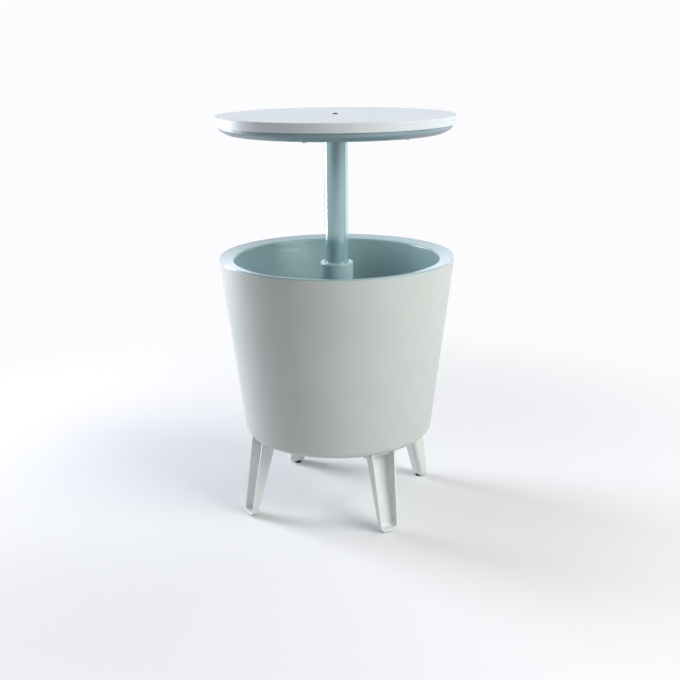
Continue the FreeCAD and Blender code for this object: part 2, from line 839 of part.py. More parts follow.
    def rivets(self, label, height, inside, outside, headed):
        """Two rivets, to the left and right, with heads outside or cut off flush."""
        s = self.sizes
        piece = self.start(label, many=True)
        shank = piece.sketch("YZ_Plane", circles=[(0, 0, s.rivet_radius)], height=inside)
        made = [piece.extrude(shank, outside - inside)]
        if headed:
            cap = piece.sketch("YZ_Plane", circles=[(0, 0, s.rivet_head)], height=outside)
            made.append(piece.extrude(cap, s.rivet_head_height))
        piece.repeat(made, len(SIDES))
        place(piece.body, height)

    def pole_rivets(self):
        """The rivets that hold the tube in the hub and on the foot."""
        s = self.sizes
        low, high = self.rivet_heights(0)
        inner = s.pole_radius - s.pole_wall
        self.rivets("hub_rivets", high, inner, s.pole_radius + s.hub_wall, headed=True)
        flush = s.pole_radius - s.slide_gap
        self.rivets("foot_rivets", low, s.foot_bore_radius, flush, headed=False)

    # Column

    def guide_bush(self):
        """The bush in the column, with two keys that make it turn with the pole."""
        s, level = self.sizes, self.levels
        piece = self.start("guide_bush")
        ring = piece.sketch(
            "XY_Plane",
            circles=[(0, 0, s.sleeve_radius), (0, 0, s.pole_radius + s.bearing_fit)],
        )
        piece.extrude(ring, s.bush_length)
        key = piece.sketch("XY_Plane", outlines=[self.key_outline(s.key_depth, s.key_width)])
        rib = piece.extrude(key, s.bush_length)
        piece.repeat([rib], len(SIDES), s.key_spread_turn)
        place(piece.body, level.bush_base, s.key_turn)

    def pole_sleeve(self):
        """The tube under the bush: its flange, and the shelves that the lugs lock on."""
        s, level = self.sizes, self.levels
        base = level.shell_floor
        flange = self.round_bar(
            "sleeve_flange", s.sleeve_flange_radius, s.sleeve_flange_thick, base)
        wall = self.round_bar("sleeve_wall_bar", s.sleeve_radius, level.sleeve_top - base, base)
        solid = self.joined("MultiFuse", "sleeve_solid", flange, wall)
        bore_radius = s.sleeve_radius - s.sleeve_wall
        cuts = [self.round_bar("sleeve_bore", bore_radius, level.sleeve_top - base, base)]
        for number in range(SLEEVE_SCREWS):
            turn = s.leg_turn + FULL_TURN / SLEEVE_SCREWS * number
            name = f"sleeve_screw_hole_{number + 1}"
            radius = s.sleeve_screw_radius + s.screw_fit
            cuts.append(self.turned_bar(
                name, radius, s.sleeve_flange_thick, base, s.sleeve_screw_circle, turn))
        holes = self.joined("MultiFuse", "sleeve_holes", *cuts)
        tube = self.joined("Cut", "sleeve_tube", solid, holes)
        shelf_base = level.shelf_top - s.shelf_height
        outer = self.round_bar(
            "shelf_outer", s.sleeve_radius - s.sleeve_wall / 2, s.shelf_height, shelf_base)
        inner = self.round_bar(
            "shelf_inner", s.pole_radius + s.bore_gap, s.shelf_height, shelf_base)
        ring = self.joined("Cut", "shelf_ring", outer, inner)
        bar = self.cross_bar(
            "shelf_bar", s.shelf_width, s.shelf_height, shelf_base, -s.lock_turn)
        shelves = self.joined("MultiCommon", "shelves", ring, bar)
        sleeve = self.joined("MultiFuse", "pole_sleeve", tube, shelves)
        self.parts["pole_sleeve"] = sleeve

    def turned_bar(self, name, radius, height, base, circle, turn):
        """A vertical cylinder on a circle about the axis, at a turn."""
        bar = self.primitive("Cylinder", f"{name}_bar", Radius=radius, Height=height)
        bar.setExpression("Placement.Base.x", as_size(circle).text)
        holder = self.doc.addObject("Part::Compound", name)
        holder.Links = [bar]
        place(holder, base, turn)
        return holder

    # Bucket

    def shell_blank(self, label):
        """The outside of the shell as one solid, before its bottom edge is rounded."""
        s, level = self.sizes, self.levels
        piece = Piece(self.doc, label)
        height = level.shell_top - s.base_height
        piece.revolve([
            (0, 0),
            (s.shell_base_radius, 0),
            (s.shell_radius, height),
            (0, height),
        ])
        return piece

    def outer_shell(self):
        """The outer wall and floor, with the bosses that take the leg screws."""
        s, level = self.sizes, self.levels
        piece = self.shell_blank("outer_shell")
        self.parts["outer_shell"] = piece.body
        height = level.shell_top - s.base_height
        floor = s.shell_wall
        share = floor / height
        inner_base = along(s.shell_base_radius, s.shell_radius, share) - s.shell_wall
        inner_top = s.shell_radius - s.shell_wall
        piece.revolve([
            (0, floor),
            (inner_base, floor),
            (inner_top, height),
            (inner_top, height + s.shell_wall),
            (0, height + s.shell_wall),
        ], cut=True)
        piece.round(s.shell_base_round - s.shell_wall, ring_at(inner_base, floor))
        piece.round(s.shell_base_round, ring_at(s.shell_base_radius, 0))
        piece.round(s.shell_edge_round, ring_at(s.shell_radius, height))
        bosses = piece.sketch(
            "XY_Plane",
            circles=[(x, y, s.leg_screw_boss) for x, y in self.leg_screw_spots()],
            height=floor,
        )
        boss = piece.extrude(bosses, s.leg_screw_boss_height)
        holes = piece.sketch(
            "XY_Plane",
            circles=[
                (x, y, s.leg_screw_radius + s.screw_fit) for x, y in self.leg_screw_spots()
            ],
        )
        bored = piece.extrude(holes, s.leg_screw_length, cut=True, backwards=True)
        piece.repeat([boss, bored], LEG_COUNT)
        drain = piece.sketch(
            "XY_Plane",
            circles=[(s.drain_radius, 0, s.spout_radius + s.bore_gap)],
            turn=s.drain_turn,
        )
        piece.extrude(drain, s.shell_wall, cut=True, backwards=True)
        holes = piece.sketch(
            "XY_Plane",
            circles=[(s.sleeve_screw_circle, 0, s.sleeve_screw_radius + s.screw_fit)],
        )
        bored = piece.extrude(holes, s.shell_wall, cut=True, backwards=True)
        piece.repeat([bored], SLEEVE_SCREWS)
        place(piece.body, s.base_height, s.leg_turn)

    def leg_screw_spots(self):
        """Where a leg's three screws stand, in the leg's own frame."""
        s = self.sizes
        return [
            (s.leg_screw_inner, -s.leg_screw_half),
            (s.leg_screw_inner, s.leg_screw_half),
            (s.leg_screw_outer, 0),
        ]

    def inner_liner(self):
        """The ice well: rim flange, tapered wall, floor and the hollow column in its middle."""
        s, level = self.sizes, self.levels
        piece = self.start("inner_liner")
        zero = level.liner_base
        rim_top = s.rim_height - zero
        well_top = level.well_top - zero
        rim_under = rim_top - s.rim_thick
        well_outer = s.well_radius + s.liner_wall
        well_under = well_top - s.rim_thick
        slope = s.rim_fall / (s.rim_radius - s.well_radius)
        rib_outer = s.locating_rib_radius
        rib_inner = rib_outer - s.locating_rib_thick
        rib_base = rim_under - s.locating_rib_height
        floor = s.liner_wall
        column_top = level.column_top - zero
        lip_base = level.lip_base - zero
        bush_zone = level.bush_base - s.slide_gap - zero
        bore = s.sleeve_radius + s.slide_gap
        bore_base = s.column_base_radius - s.liner_wall
        lip_hole = s.pole_radius + s.lip_gap
        piece.revolve([
            (lip_hole, column_top),
            (lip_hole, lip_base),
            (bore, lip_base),
            (bore, bush_zone),
            (bore_base, 0),
            (s.well_floor_radius + s.liner_wall, 0),
            (well_outer, rim_under - slope * (s.rim_radius - well_outer)),
            (rib_inner, rim_under - slope * (s.rim_radius - rib_inner)),
            (rib_inner, rib_base),
            (rib_outer, rib_base),
            (rib_outer, rim_under),
            (s.rim_radius, rim_under),
            (s.rim_radius, rim_top),
            (s.well_radius, well_top),
            (s.well_floor_radius, floor),
            (s.column_base_radius, floor),
            (s.column_radius, column_top),
        ])
        piece.round(s.well_floor_round + s.liner_wall,
                    ring_at(s.well_floor_radius + s.liner_wall, 0))
        piece.round(s.well_floor_round, ring_at(s.well_floor_radius, floor))
        piece.round(s.well_edge_round, ring_at(s.well_radius, well_top))
        piece.round(s.rim_edge_round, ring_at(s.rim_radius, rim_top))
        piece.round(s.column_edge_round, ring_at(s.column_radius, column_top))
        piece.round(s.column_base_round, ring_at(s.column_base_radius, floor))
        drain = piece.sketch(
            "XY_Plane",
            circles=[(s.drain_radius, 0, s.spout_radius + s.bore_gap)],
            turn=s.drain_turn,
        )
        piece.extrude(drain, s.liner_wall, cut=True, backwards=True)
        place(piece.body, zero, s.leg_turn)

    # Legs

    def leg_rim(self, height):
        """How far from the axis a leg's open edge lies at a height."""
        s = self.sizes
        return along(s.leg_rim_foot, s.leg_rim_top, height / s.base_height)

    def leg_back(self, height):
        """How far from the axis a leg's inner face lies at a height."""
        s = self.sizes
        return along(s.leg_back_foot, s.leg_back_top, height / s.base_height)

    def leg_half(self, height):
        """Half of a leg's width at a height."""
        s = self.sizes
        return along(s.leg_foot_width / 2, s.leg_width / 2, height / s.base_height)

    def leg_solid(self, label, side, low, high, half_low, half_high):
        """A side outline as wide as a leg, its two flanks cut to lean with the height."""
        piece = Piece(self.doc, label)
        outline = piece.sketch("XZ_Plane", outlines=[side])
        piece.extrude(outline, 2 * half_high, centred=True)
        outside = half_high + self.sizes.leg_wall
        for way in (-1, 1):
            wedge = piece.sketch("YZ_Plane", outlines=[[
                (way * half_low, low),
                (way * outside, low),
                (way * outside, high),
                (way * half_high, high),
            ]])
            piece.extrude(wedge, self.sizes.table_height, cut=True, centred=True)
        return piece

    def leg_blank(self, label):
        """One leg before it is hollowed and its top is cut to the shell.

        In the leg's frame +X points outwards and the leg stands on its pad.
        """
        s = self.sizes
        toe = s.pad_height
        top = s.base_height + s.leg_cope
        piece = self.leg_solid(label, [
            (self.leg_back(toe), toe),
            (self.leg_rim(toe), toe),
            (self.leg_rim(top), top),
            (self.leg_back(top), top),
        ], toe, top, self.leg_half(toe), self.leg_half(top))

        def at_back(end):
            return near(end.x, self.leg_back(as_size(end.z)))

        def at_toe_side(end):
            return near(end.z, toe) and near(abs(end.y), self.leg_half(toe))

        def climbing_back(edge):
            return edge.BoundBox.ZLength > CLOSE and straight_between(at_back, shared="")(edge)

        piece.round(s.leg_toe_round, straight_between(at_toe_side))
        piece.round(s.leg_back_round, climbing_back)
        flange_base = s.base_height - s.leg_flange_thick
        half = s.leg_width / 2 + s.leg_flange_spread
        plate = piece.sketch("XY_Plane", outlines=[[
            (s.leg_flange_inner, -half),
            (s.leg_flange_outer, -half),
            (s.leg_flange_outer, half),
            (s.leg_flange_inner, half),
        ]], height=flange_base)
        piece.extrude(plate, s.leg_flange_thick)
        piece.round(s.leg_flange_spread, straight_between(
            lambda end: near(abs(end.y), half) and end.x < s.leg_back_top.value, shared="xy"))

        def at_flare(edge):
            box = edge.BoundBox
            low = near(box.ZMin, flange_base) and near(box.ZMax, flange_base)
            outside = box.XMax > s.leg_flange_outer.value + CLOSE
            at_end = near(box.XMin, s.leg_flange_inner) or near(box.XMin, box.XMax)
            past_leg = max(-box.YMin, box.YMax) > s.leg_width.value / 2 + CLOSE
            return low and not outside and not at_end and not past_leg

        piece.round(s.leg_flare_round, at_flare)
        return piece

    def leg_channel(self, label):
        """The hollow of a leg, open outwards and running up to the shell past the flange."""
        s = self.sizes
        base = s.pad_height + s.leg_toe_wall
        flange_base = s.base_height - s.leg_flange_thick
        top = s.base_height + s.leg_cope + s.leg_wall
        outside = s.leg_rim_foot + s.leg_width
        half_base = self.leg_half(base) - s.leg_wall
        piece = self.leg_solid(label, [
            (self.leg_back(base) + s.leg_wall, base),
            (outside, base),
            (outside, top),
            (s.leg_flange_outer, top),
            (s.leg_flange_outer, flange_base),
            (self.leg_back(flange_base) + s.leg_wall, flange_base),
        ], base, top, half_base, self.leg_half(top) - s.leg_wall)

        def at_scoop(end):
            return near(end.z, base) and near(abs(end.y), half_base)

        def at_back(end):
            return near(end.x, self.leg_back(as_size(end.z)) + s.leg_wall)

        def lower_back(edge):
            below = edge.BoundBox.ZMin < flange_base.value - CLOSE
            return below and straight_between(at_back, shared="")(edge)

        piece.round(s.leg_toe_round - s.leg_wall, straight_between(at_scoop))
        piece.round(s.leg_back_round - s.leg_wall, lower_back)
        return piece

    def legs(self):
        """Four legs cut to the shell's rounded bottom, with their pads and screws."""
        s = self.sizes
        envelope = self.shell_blank("shell_envelope")
        envelope.round(s.shell_base_round, ring_at(s.shell_base_radius, 0))
        place(envelope.body, s.base_height, s.leg_turn)
        for number, name in enumerate(LEG_NAMES):
            turn = s.leg_turn + FULL_TURN / LEG_COUNT * number
            piece = self.leg_blank(f"leg_blank_{name}")
            holes = piece.sketch("XY_Plane", circles=[
                (x, y, s.leg_screw_radius + s.screw_fit) for x, y in self.leg_screw_spots()
            ], height=s.base_height)
            piece.extrude(holes, s.leg_flange_thick, cut=True)
            centre = self.pad_centre()
            hole = piece.sketch("XY_Plane", circles=[
                (centre, 0, s.pad_stem_radius + s.screw_fit)
            ], height=s.pad_height)
            piece.extrude(hole, s.pad_stem_height, cut=True, backwards=True)
            place(piece.body, 0, turn)
            channel = self.leg_channel(f"leg_channel_{name}")
            place(channel.body, 0, turn)
            label = f"leg_{name}"
            hollow = self.joined("Cut", f"leg_hollow_{name}", piece.body, channel.body)
            self.parts[label] = self.joined("Cut", label, hollow, envelope.body)
            self.foot_pad(f"foot_pad_{name}", turn)
        self.screws(
            "leg_screws", s.leg_screw_radius, s.leg_screw_head, s.leg_screw_length,
            self.leg_screw_spots(), LEG_COUNT, s.base_height - s.leg_flange_thick, s.leg_turn,
        )
        self.screws(
            "sleeve_screws", s.sleeve_screw_radius, s.sleeve_screw_head, s.sleeve_screw_length,
            [(s.sleeve_screw_circle, 0)], SLEEVE_SCREWS, s.base_height, s.leg_turn,
        )

    def pad_centre(self):
        """How far from the axis a pad's middle lies: the toe's outer lip hides the pad."""
        s = self.sizes
        return self.leg_back(s.pad_height) + s.pad_edge_margin + s.pad_depth / 2

    def foot_pad(self, label, turn):
        """A rubber pad under a leg, with its stem pushed into the toe."""
        s = self.sizes
        piece = self.start(label)
        centre = self.pad_centre()
        across = s.pad_depth / 2
        half = s.pad_width / 2
        sole = piece.sketch("XY_Plane", outlines=[[
            (centre - across, -half),
            (centre + across, -half),
            (centre + across, half),
            (centre - across, half),
        ]])
        piece.extrude(sole, s.pad_height)
        piece.round(s.pad_round, straight_between(lambda end: True, shared="xy"))
        stem = piece.sketch(
            "XY_Plane", circles=[(centre, 0, s.pad_stem_radius)], height=s.pad_height)
        piece.extrude(stem, s.pad_stem_height)
        place(piece.body, 0, turn)

    # Drain

    def drain(self):
        """The spout through both floors, its gasket and nut, and the stopper with its seal."""
        s, level = self.sizes, self.levels
        turn = s.leg_turn + s.drain_turn
        bore = s.spout_radius - s.spout_wall

        piece = self.start("drain_gasket")
        ring = piece.sketch("XY_Plane", circles=[
            (s.drain_radius, 0, s.gasket_radius),
            (s.drain_radius, 0, s.spout_radius + s.bore_gap / 2),
        ])
        piece.extrude(ring, s.gasket_thick)
        place(piece.body, level.well_floor, turn)

        piece = self.start("drain_spout")
        tube_length = level.spout_flange_base - level.spout_base
        spigot_length = s.spout_drop - s.nut_height
        spigot = piece.sketch("XY_Plane", circles=[
            (s.drain_radius, 0, s.spigot_radius),
            (s.drain_radius, 0, bore),
        ])
        piece.extrude(spigot, spigot_length)
        tube = piece.sketch("XY_Plane", circles=[
            (s.drain_radius, 0, s.spout_radius),
            (s.drain_radius, 0, bore),
        ], height=spigot_length)
        piece.extrude(tube, tube_length - spigot_length)
        flange = piece.sketch("XY_Plane", circles=[
            (s.drain_radius, 0, s.spout_flange_radius),
            (s.drain_radius, 0, bore),
        ], height=tube_length)
        piece.extrude(flange, s.spout_flange_thick)
        place(piece.body, level.spout_base, turn)

        piece = self.start("drain_nut")
        corners = [(across + s.drain_radius, up) for across, up in hexagon(s.nut_radius)]
        nut = piece.sketch(
            "XY_Plane", outlines=[corners],
            circles=[(s.drain_radius, 0, s.spout_radius + s.screw_fit)])
        piece.extrude(nut, s.nut_height)
        place(piece.body, s.base_height - s.nut_height, turn)

        piece = self.start("drain_plug")
        stem_radius = bore - s.slide_gap
        stem = piece.sketch("XY_Plane", circles=[(s.drain_radius, 0, stem_radius)])
        piece.extrude(stem, s.plug_stem)
        head = piece.sketch(
            "XY_Plane", circles=[(s.drain_radius, 0, s.plug_head_radius)], height=s.plug_stem)
        piece.extrude(head, s.plug_head_thick)
        half = s.plug_tab_width / 2
        tab_base = s.plug_stem + s.plug_head_thick
        tab = piece.sketch("YZ_Plane", outlines=[[
            (-half, tab_base),
            (half, tab_base),
            (half, tab_base + s.plug_tab_height),
            (-half, tab_base + s.plug_tab_height),
        ]], height=s.drain_radius - s.plug_tab_thick / 2)
        piece.extrude(tab, s.plug_tab_thick)
        top = tab_base + s.plug_tab_height
        piece.round(s.plug_tab_round, straight_between(
            lambda end: near(end.z, top) and near(abs(end.y), half)))
        seal_height = s.plug_stem / 2
        cord = s.seal_cord
        ring_radius = bore - s.bearing_fit - cord
        groove = piece.sketch("XY_Plane", circles=[
            (s.drain_radius, 0, s.plug_head_radius),
            (s.drain_radius, 0, ring_radius - cord - s.screw_fit),
        ], height=seal_height - cord - s.screw_fit)
        piece.extrude(groove, 2 * (cord + s.screw_fit), cut=True, backwards=True)
        plug_base = level.spout_flange_top + s.slide_gap - s.plug_stem
        place(piece.body, plug_base, turn)

        seal = self.primitive("Torus", "seal_ring", Radius1=ring_radius, Radius2=cord)
        seal.setExpression("Placement.Base.x", s.drain_radius.text)
        holder = self.doc.addObject("Part::Compound", "plug_seal")
        holder.Links = [seal]
        place(holder, plug_base + seal_height, turn)
        self.parts["plug_seal"] = holder

    def build(self):
        """Make every sub-part, in the order of the stack from the top down."""
        self.table_disc()
        self.table_pan()
        self.table_fasteners()
        self.pole_hub()
        self.pole_tube()
        self.pole_foot()
        self.pole_rivets()
        self.guide_bush()
        self.pole_sleeve()
        self.outer_shell()
        self.inner_liner()
        self.legs()
        self.drain()
        self.doc.recompute()

    def check(self):
        """Stop if any object failed or any sub-part has no valid solid."""
        for item in self.doc.Objects:
            if any(word in item.State for word in ("Invalid", "Error")):
                raise RuntimeError(f"{item.Name} failed: {item.State}")
        for label, item in self.parts.items():
            shape = item.Shape
            if shape.isNull() or not shape.isValid() or not shape.Solids:
                raise RuntimeError(f"{label} has no valid solid")

    def export(self):
        """Write one STEP file for each sub-part."""
        os.makedirs("parts", exist_ok=True)
        for label, item in self.parts.items():
            item.Label = label
            item.Shape.exportStep(f"parts/{label}.step")
            volume = item.Shape.Volume / 1000
            print(f"{label}: {len(item.Shape.Solids)} solids, {volume:.1f} cm3")


def hexagon(radius):
    """The corners of a hexagon about the origin, with two corners on the first axis."""
    high = radius * HALF_ROOT_THREE
    half = radius / 2
    return [
        (radius, 0),
        (half, high),
        (-half, high),
        (-radius, 0),
        (-half, -high),
        (half, -high),
    ]


table = CoffeeTable()
table.build()
table.check()
table.export()
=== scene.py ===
"""Looks of the ice bucket coffee table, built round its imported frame.

Metres, +Z up, in the frame's own axes. The object's sizes are written in millimetres and
turned to metres where a mesh or a pattern takes them. The studio's sizes are in metres.
"""

import logging
import math
from dataclasses import dataclass, field, replace
from enum import Enum

import bmesh
import bpy
import numpy as np
from mathutils import Matrix, Vector


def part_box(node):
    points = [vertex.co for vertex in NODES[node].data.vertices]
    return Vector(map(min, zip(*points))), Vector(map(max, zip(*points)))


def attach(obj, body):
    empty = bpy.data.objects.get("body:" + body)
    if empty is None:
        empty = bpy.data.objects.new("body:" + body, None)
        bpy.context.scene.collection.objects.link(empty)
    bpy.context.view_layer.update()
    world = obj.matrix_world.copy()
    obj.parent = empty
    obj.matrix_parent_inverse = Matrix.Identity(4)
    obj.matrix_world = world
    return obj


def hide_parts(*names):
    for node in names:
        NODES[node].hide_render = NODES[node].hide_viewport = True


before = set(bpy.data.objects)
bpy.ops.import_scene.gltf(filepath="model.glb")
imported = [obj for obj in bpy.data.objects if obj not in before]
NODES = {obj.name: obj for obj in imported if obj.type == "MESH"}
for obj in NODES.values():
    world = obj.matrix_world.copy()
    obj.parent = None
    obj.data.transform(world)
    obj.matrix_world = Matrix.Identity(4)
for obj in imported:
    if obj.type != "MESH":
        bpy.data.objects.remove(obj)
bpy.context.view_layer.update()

MM = 0.001
# Points nearer than this are one point, and edges bent more than this are drawn sharp.
WELD_MM = 0.001
SHARP_DEGREES = 42
# Nearly all of a noise pattern lies between these two heights.
NOISE_LOW, NOISE_HIGH = 0.3, 0.7

# A screw's distance from the axis and its sideways offset, in millimetres, and its turn
# about the axis, in degrees.
Spot = tuple[float, float, float]

logging.basicConfig(level=logging.INFO, format="%(message)s")
log = logging.getLogger("ice_bucket_table")


class Leg(Enum):
    """The four legs, named by where they stand, seen from the front."""

    BACK_RIGHT = "back_right"
    BACK_LEFT = "back_left"
    FRONT_LEFT = "front_left"
    FRONT_RIGHT = "front_right"


class Slot(Enum):
    """The record's material slots, which the rounded rings name but nothing reads."""

    LIGHT_GREY = "light_grey_plastic"
    BLACK_RUBBER = "black_rubber"
    ZINC_STEEL = "zinc_steel"


def linear(hex_colour: str) -> tuple[float, float, float, float]:
    """Turn an sRGB hex colour into linear light.

    The sRGB curve is straight up to 0.04045 and a power of 2.4 above it.

    Args:
        hex_colour: six hex digits, with or without the leading mark.

    Returns:
        Red, green, blue and an alpha of 1.
    """
    digits = hex_colour.lstrip("#")
    shares = np.array([int(digits[i:i + 2], 16) for i in (0, 2, 4)]) / 255
    light = np.where(shares <= 0.04045, shares / 12.92, ((shares + 0.055) / 1.055) ** 2.4)
    return (*light.tolist(), 1.0)


def round_steps(count: int) -> np.ndarray:
    """Even steps once round, in radians."""
    return np.linspace(0, 2 * np.pi, count, endpoint=False)


def add_object(name: str, data: bpy.types.ID) -> bpy.types.Object:
    """Add an object with its data to the scene.

    Args:
        name: the object's name.
        data: its mesh, lamp or camera.

    Returns:
        The new object, at the origin.
    """
    made = bpy.data.objects.new(name, data)
    bpy.context.scene.collection.objects.link(made)
    return made


def add_node(tree: bpy.types.NodeTree, kind: str, inputs: dict[str | int, object] | None = None,
             **settings: object) -> bpy.types.Node:
    """Add one node to a tree.

    Args:
        tree: the node tree.
        kind: the node's type name.
        inputs: for each input, by name or number, a socket to link from or a plain value.
        **settings: properties of the node.

    Returns:
        The new node.
    """
    made = tree.nodes.new(kind)
    for key, value in settings.items():
        setattr(made, key, value)
    for key, value in (inputs or {}).items():
        if isinstance(value, bpy.types.NodeSocket):
            tree.links.new(value, made.inputs[key])
        else:
            made.inputs[key].default_value = value
    return made


def empty_material(name: str) -> bpy.types.Material:
    """A new material with no nodes in its tree yet."""
    material = bpy.data.materials.new(name)
    material.use_nodes = True
    material.node_tree.nodes.clear()
    return material


@dataclass(frozen=True)
class MouldedPlastic:
    """Injection-moulded polypropylene, nylon or rubber, smooth where the grain is shallow.

    The mould's spark-eroded walls leave a fine grain, which breaks up the gloss. The walls
    sink and swell a little as they cool, which bends reflections into level streaks, and the
    pigment drifts in tone across a large moulding. Edges are broken to a small radius.

    Args:
        name: the material's name.
        colour: the pigment's sRGB hex colour.
        roughness: the gloss's middle value.
        grain_mm, grain_depth_mm: width and depth of the grain.
        sink_mm, sink_depth_mm: width and depth of the slow waves.
        streak: how many times wider than high the waves are.
        drift, drift_mm: the share by which the tone drifts, and the width of a patch.
        dulling: the share by which the grain lowers and raises the roughness.
        edge_mm: radius of the broken edges.
        edge_samples: how finely that radius is sampled.
        ior: index of refraction; polypropylene's 1.49 is near nylon's and rubber's too.
    """

    name: str
    colour: str
    roughness: float
    grain_mm: float
    grain_depth_mm: float
    sink_mm: float = 70.0
    sink_depth_mm: float = 0.0
    streak: float = 4.0
    drift: float = 0.03
    drift_mm: float = 90.0
    dulling: float = 0.15
    edge_mm: float = 0.6
    edge_samples: int = 6
    ior: float = 1.49

    def tint(self, tree: bpy.types.NodeTree, place: bpy.types.NodeSocket,
             grain: bpy.types.NodeSocket) -> bpy.types.NodeSocket:
        """Add the colour: the pigment, lighter or darker with the grain and the drift.

        Args:
            tree: the material's node tree.
            place: the point on the piece.
            grain: the grain's height there.

        Returns:
            The colour's socket.
        """
        tone = add_node(tree, "ShaderNodeTexNoise", {
            "Vector": place, "Scale": 1 / (self.drift_mm * MM), "Detail": 2.0,
        })
        both = add_node(tree, "ShaderNodeMath", {
            0: grain, 1: tone.outputs["Fac"],
        }, operation="ADD")
        shade = add_node(tree, "ShaderNodeMapRange", {
            "Value": both.outputs[0], "From Min": 2 * NOISE_LOW, "From Max": 2 * NOISE_HIGH,
            "To Min": 1 - self.drift, "To Max": 1 + self.drift,
        })
        return add_node(tree, "ShaderNodeVectorMath", {
            0: linear(self.colour)[:3], "Scale": shade.outputs["Result"],
        }, operation="SCALE").outputs[0]

    def gloss(self, tree: bpy.types.NodeTree,
              grain: bpy.types.NodeSocket) -> bpy.types.NodeSocket:
        """Add the roughness, which rises with the grain.

        Args:
            tree: the material's node tree.
            grain: the grain's height.

        Returns:
            The roughness's socket.
        """
        return add_node(tree, "ShaderNodeMapRange", {
            "Value": grain, "From Min": NOISE_LOW, "From Max": NOISE_HIGH,
            "To Min": self.roughness * (1 - self.dulling),
            "To Max": self.roughness * (1 + self.dulling),
        }).outputs["Result"]

    def relief(self, tree: bpy.types.NodeTree, place: bpy.types.NodeSocket,
               grain: bpy.types.NodeSocket) -> bpy.types.NodeSocket:
        """Add the surface's small forms: broken edges, then slow waves, then the grain.

        Args:
            tree: the material's node tree.
            place: the point on the piece.
            grain: the grain's height there.

        Returns:
            The normal's socket.
        """
        edge = add_node(tree, "ShaderNodeBevel", {
            "Radius": self.edge_mm * MM,
        }, samples=self.edge_samples)
        level = add_node(tree, "ShaderNodeVectorMath", {
            0: place, 1: (1.0, 1.0, self.streak),
        }, operation="MULTIPLY")
        sink = add_node(tree, "ShaderNodeTexNoise", {
            "Vector": level.outputs[0], "Scale": 1 / (self.sink_mm * MM), "Detail": 1.0,
        })
        waves = add_node(tree, "ShaderNodeBump", {
            "Height": sink.outputs["Fac"], "Distance": self.sink_depth_mm * MM,
            "Strength": 1.0, "Normal": edge.outputs["Normal"],
        })
        return add_node(tree, "ShaderNodeBump", {
            "Height": grain, "Distance": self.grain_depth_mm * MM,
            "Strength": 1.0, "Normal": waves.outputs["Normal"],
        }).outputs["Normal"]

    def material(self) -> bpy.types.Material:
        """Build the node material.

        Returns:
            The material, with its patterns on Object coordinates.
        """
        made = empty_material(self.name)
        tree = made.node_tree
        place = add_node(tree, "ShaderNodeTexCoord").outputs["Object"]
        grain = add_node(tree, "ShaderNodeTexNoise", {
            "Vector": place, "Scale": 1 / (self.grain_mm * MM), "Detail": 3.0,
            "Roughness": 0.6,
        }).outputs["Fac"]
        shader = add_node(tree, "ShaderNodeBsdfPrincipled", {
            "Base Color": self.tint(tree, place, grain), "Roughness": self.gloss(tree, grain),
            "IOR": self.ior, "Normal": self.relief(tree, place, grain),
        })
        add_node(tree, "ShaderNodeOutputMaterial", {"Surface": shader.outputs["BSDF"]})
        return made


@dataclass(frozen=True)
class Metal:
    """Plated or blackened steel, or anodised aluminium, with fine marks of its making.

    Args:
        name: the material's name.
        colour: the reflection's sRGB hex colour.
        roughness: the gloss's middle value.
        metal: how far the metal shows through its coat.
        mark_mm: width of the marks.
        spread: how far the marks lower and raise the roughness.
    """

    name: str
    colour: str
    roughness: float
    metal: float = 1.0
    mark_mm: float = 0.4
    spread: float = 0.08

    def material(self) -> bpy.types.Material:
        """Build the node material.

        Returns:
            The material, with its marks on Object coordinates.
        """
        made = empty_material(self.name)
        tree = made.node_tree
        place = add_node(tree, "ShaderNodeTexCoord").outputs["Object"]
        marks = add_node(tree, "ShaderNodeTexNoise", {
            "Vector": place, "Scale": 1 / (self.mark_mm * MM), "Detail": 2.0,
        })
        rough = add_node(tree, "ShaderNodeMapRange", {
            "Value": marks.outputs["Fac"], "To Min": self.roughness - self.spread,
            "To Max": self.roughness + self.spread,
        })
        shader = add_node(tree, "ShaderNodeBsdfPrincipled", {
            "Base Color": linear(self.colour), "Metallic": self.metal,
            "Roughness": rough.outputs["Result"],
        })
        add_node(tree, "ShaderNodeOutputMaterial", {"Surface": shader.outputs["BSDF"]})
        return made


Finish = MouldedPlastic | Metal


@dataclass(frozen=True)
class Camera:
    """The photograph's view, fitted to the circles of the disc, the rim and the feet.

    Args:
        frame_px, focal_px: width of the square frame and the focal length, in pixels.
        sensor_mm: width of the sensor.
        distance, height: how far in front of the axis and above the floor it stands.
        pitch, roll, yaw: how far it looks down, leans and looks right, in degrees.
    """

    frame_px: float = 680.0
    focal_px: float = 1036.25
    sensor_mm: float = 36.0
    distance: float = 2.159
    height: float = 0.978
    pitch: float = 15.954
    roll: float = -0.567
    yaw: float = 0.137

    def turn(self) -> Matrix:
        """Work out how the camera is turned.

        The level axes are turned by the yaw about the vertical and the pitch about the
        right axis, and then the roll turns right towards up.

        Returns:
            The camera's axes as columns: right, up and backwards.
        """
        pitch, roll, yaw = (math.radians(a) for a in (self.pitch, self.roll, self.yaw))
        right = Vector((math.cos(yaw), -math.sin(yaw), 0))
        ahead = Vector((math.sin(yaw) * math.cos(pitch), math.cos(yaw) * math.cos(pitch),
                        -math.sin(pitch)))
        up = right.cross(ahead)
        rolled = right * math.cos(roll) + up * math.sin(roll)
        above = up * math.cos(roll) - right * math.sin(roll)
        return Matrix((rolled, above, -ahead)).transposed()

    def place(self) -> None:
        """Add the camera and make it the scene's."""
        data = bpy.data.cameras.new("camera")
        data.sensor_width = self.sensor_mm
        data.lens = self.focal_px / self.frame_px * self.sensor_mm
        camera = add_object("camera", data)
        camera.matrix_world = (
            Matrix.Translation((0, -self.distance, self.height)) @ self.turn().to_4x4())
        bpy.context.scene.camera = camera


